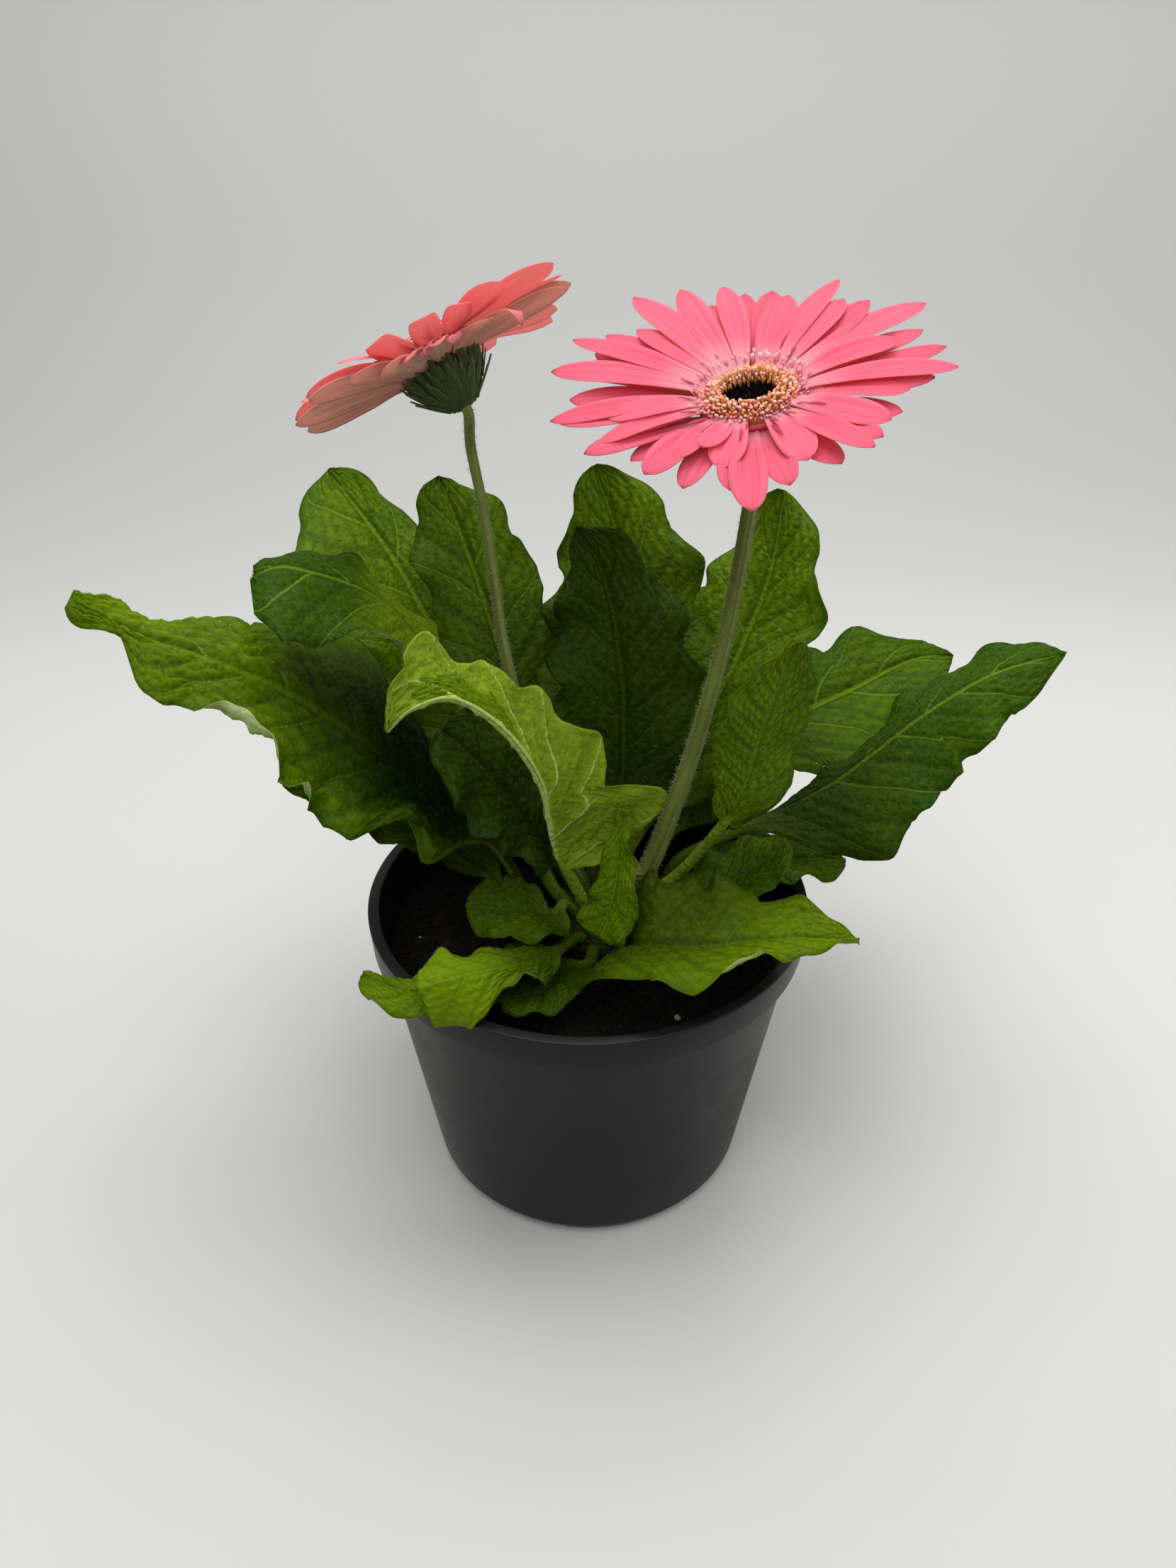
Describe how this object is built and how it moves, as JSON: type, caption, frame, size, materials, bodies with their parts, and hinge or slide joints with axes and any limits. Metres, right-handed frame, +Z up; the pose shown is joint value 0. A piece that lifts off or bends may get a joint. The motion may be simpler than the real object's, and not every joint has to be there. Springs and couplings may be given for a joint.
{
  "type": "potted gerbera",
  "caption": "Gerbera daisy plant with a rosette of lobed leaves and open pink blooms on bare stems, rooted in a round black nursery pot.",
  "frame": {"origin": "centre of the pot's flat underside, on the surface that the pot stands on", "axes": "+Z up along the pot's axis; -Y is the front, which the open bloom leans towards; +X is to the right seen from the front"},
  "size_m": [0.3066, 0.2125, 0.3084],
  "materials": {
    "pot_plastic": "matte black moulded plastic",
    "potting_soil": "dark crumbly peat with pale grains",
    "crown": "woolly green and brown crown",
    "leaf": "half-gloss lobed leaf with a pale downy underside",
    "flower_stem": "ribbed, downy green stem",
    "rays": "satin coral pink rays, paler below",
    "disc_florets": "cream and yellow florets with pink tips",
    "disc_eye": "dark maroon closed florets",
    "bracts": "downy dark green bracts"
  },
  "bodies": {
    "root": {"pot": "pot_plastic", "soil": "potting_soil", "crown": "crown", "leaf_left_long": "leaf", "leaf_front_arch": "leaf", "leaf_left_mid": "leaf", "leaf_back_left": "leaf", "leaf_back_left_inner": "leaf", "leaf_back": "leaf", "leaf_back_inner": "leaf", "leaf_back_right": "leaf", "leaf_right_long": "leaf", "leaf_right_back": "leaf", "leaf_right_young": "leaf", "leaf_front_right_low": "leaf", "leaf_front_left_low": "leaf", "leaf_left_low": "leaf", "leaf_left_inner": "leaf", "leaf_left_shaded": "leaf", "leaf_right_low": "leaf", "leaf_right_inner": "leaf", "leaf_left_under": "leaf", "leaf_front_low": "leaf", "leaf_rear_left": "leaf", "leaf_rear": "leaf", "leaf_rear_right": "leaf", "bloom_right_stem": "flower_stem", "bloom_right_bracts": "bracts", "bloom_right_rays": "rays", "bloom_right_disc": "disc_florets", "bloom_right_eye": "disc_eye", "bloom_left_stem": "flower_stem", "bloom_left_bracts": "bracts", "bloom_left_rays": "rays", "bloom_left_disc": "disc_florets", "bloom_left_eye": "disc_eye"}
  },
  "joints": []
}
